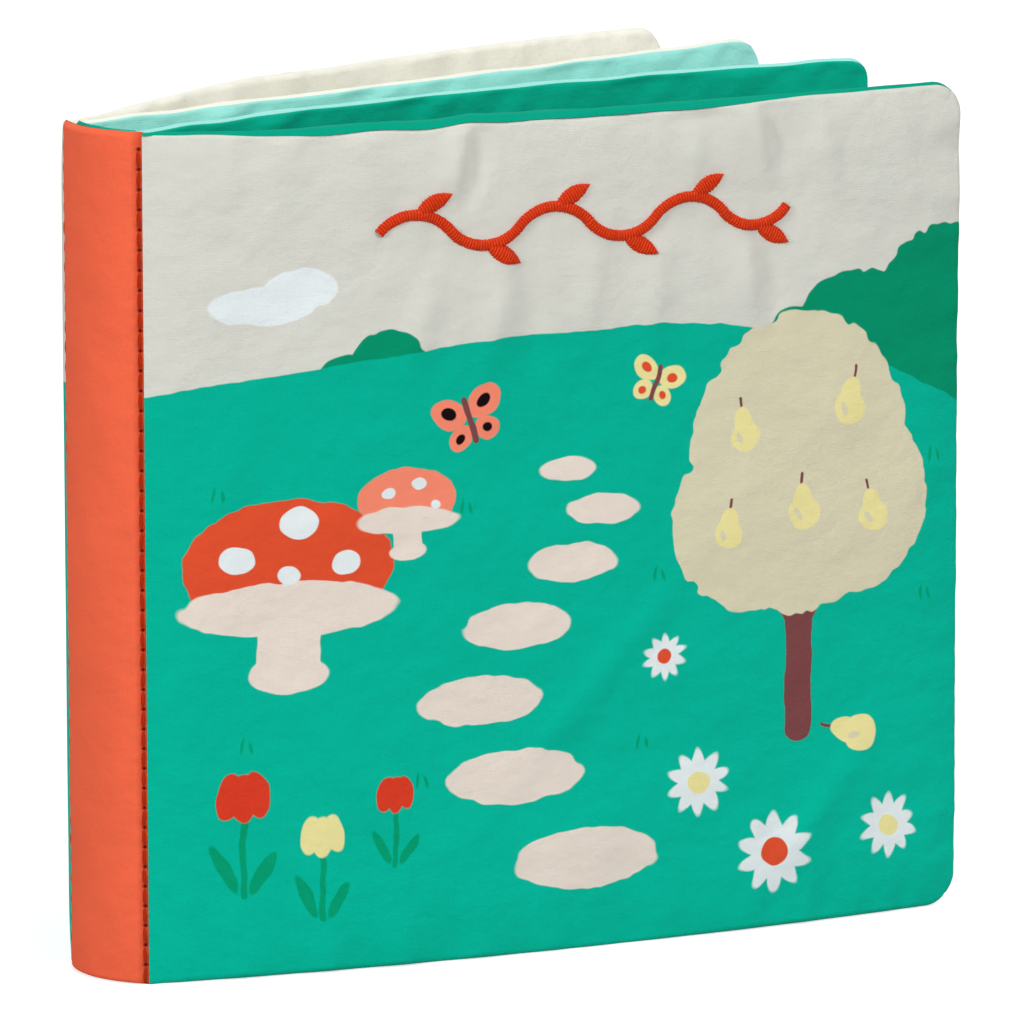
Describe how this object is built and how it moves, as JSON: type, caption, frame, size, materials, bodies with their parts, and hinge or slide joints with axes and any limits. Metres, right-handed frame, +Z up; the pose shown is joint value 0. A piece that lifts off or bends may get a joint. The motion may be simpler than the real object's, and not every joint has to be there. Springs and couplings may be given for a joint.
{
  "type": "cloth book",
  "caption": "Padded cloth book, standing fanned open, with a sewn orange spine, a printed cover and two soft leaves",
  "frame": {"origin": "on the floor, in the middle of the strip that joins the two leaves at the spine", "axes": "+Z up; +X from the spine to the free edges, the longest extent; +Y across the fan, towards the back cover, the shortest extent"},
  "size_m": [0.1947, 0.1095, 0.18],
  "materials": {
    "cover_print": "matt woven",
    "orange_cloth": "matt woven",
    "green_cloth": "matt woven",
    "cream_cloth": "matt woven",
    "page_cloth": "matt woven",
    "wadding": "soft",
    "thread": "satin"
  },
  "bodies": {
    "spine": {"spine_outer": "orange_cloth", "spine_wadding": "wadding", "spine_lining": "green_cloth", "pages": "page_cloth", "front_stitching": "thread", "back_stitching": "thread"},
    "front_cover": {"front_cover_outer": "cover_print", "front_cover_wadding": "wadding", "front_cover_lining": "green_cloth", "front_cover_embroidery": "thread"},
    "back_cover": {"back_cover_outer": "cover_print", "back_cover_wadding": "wadding", "back_cover_lining": "cream_cloth"}
  },
  "joints": [
    {"name": "front_cover_hinge", "type": "hinge", "parent": "spine", "child": "front_cover", "pos_m": [0.00321, -0.01099, 0], "axis": [0, 0, 1], "range_deg": [-150, 10]},
    {"name": "back_cover_hinge", "type": "hinge", "parent": "spine", "child": "back_cover", "pos_m": [-0.00386, 0.01078, 0], "axis": [0, 0, 1], "range_deg": [-3, 160]}
  ]
}
